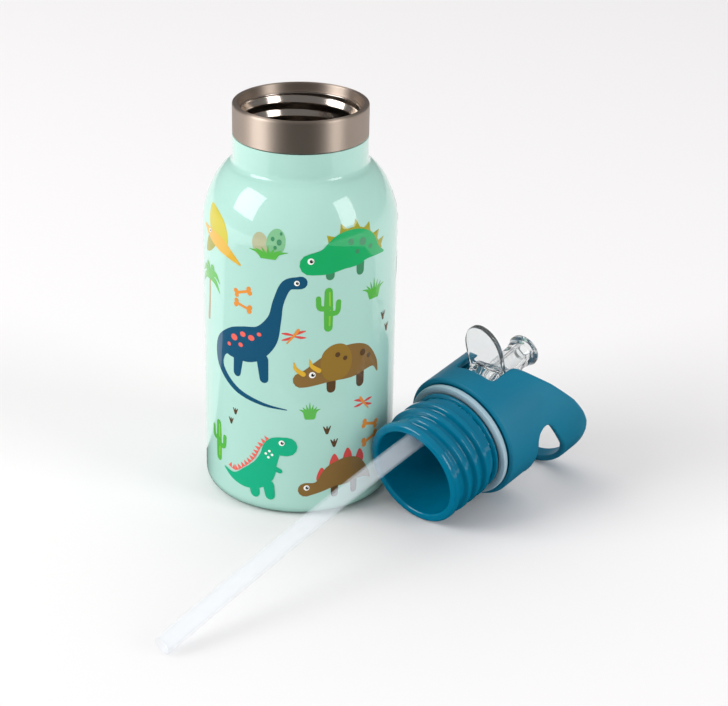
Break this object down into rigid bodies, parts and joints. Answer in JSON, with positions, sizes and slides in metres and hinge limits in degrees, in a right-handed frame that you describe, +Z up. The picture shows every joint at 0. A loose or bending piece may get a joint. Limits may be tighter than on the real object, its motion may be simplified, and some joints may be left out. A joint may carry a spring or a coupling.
{
  "type": "insulated kids water bottle",
  "caption": "Double-walled steel bottle for a child with its screw-in straw lid lying beside it: slanted collar with carry loop, folding clear spout and long soft straw.",
  "frame": {"origin": "middle of the bottle's flat base, on the table", "axes": "+Z up the bottle's axis; +X along the lying lid, from the plug's mouth to the carry loop; the lid lies on the -Y side"},
  "size_m": [0.2023, 0.1169, 0.1489],
  "materials": {
    "mint_lacquer": "gloss",
    "brushed_steel": "brushed",
    "liner_steel": "electropolished",
    "solder_glass": "fused",
    "getter_alloy": "sintered",
    "collar_teal": "soft touch",
    "plug_teal": "gloss",
    "gasket_silicone": "satin",
    "clear_silicone": "satin",
    "clear_copolyester": "clear",
    "straw_polyethylene": "milky translucent"
  },
  "bodies": {
    "bottle": {"outer_shell": "mint_lacquer", "outer_base": "liner_steel", "base_cap": "brushed_steel", "seal_bead": "solder_glass", "getter_clip": "liner_steel", "getter_pellet": "getter_alloy", "liner_base": "liner_steel", "inner_vessel": "liner_steel", "neck_ring": "brushed_steel"},
    "lid": {"lid_collar": "collar_teal", "threaded_plug": "plug_teal", "neck_gasket": "gasket_silicone", "spout_seal": "clear_silicone", "straw_socket": "clear_silicone", "vent_valve": "clear_silicone"},
    "spout": {"spout": "clear_copolyester"},
    "straw": {"straw": "straw_polyethylene"}
  },
  "joints": [
    {"name": "lid_lift", "type": "slide", "parent": "bottle", "child": "lid", "axis": [0, 0, 1], "range_m": [0, 0.16]},
    {"name": "spout_fold", "type": "hinge", "parent": "lid", "child": "spout", "pos_m": [0.04299, -0.05716, 0.0437], "axis": [-0.0033, 0.9998, 0.0171], "range_deg": [0, 96]},
    {"name": "straw_pull", "type": "slide", "parent": "lid", "child": "straw", "axis": [-0.9816, 0, -0.1908], "range_m": [-0.002, 0.006]}
  ]
}
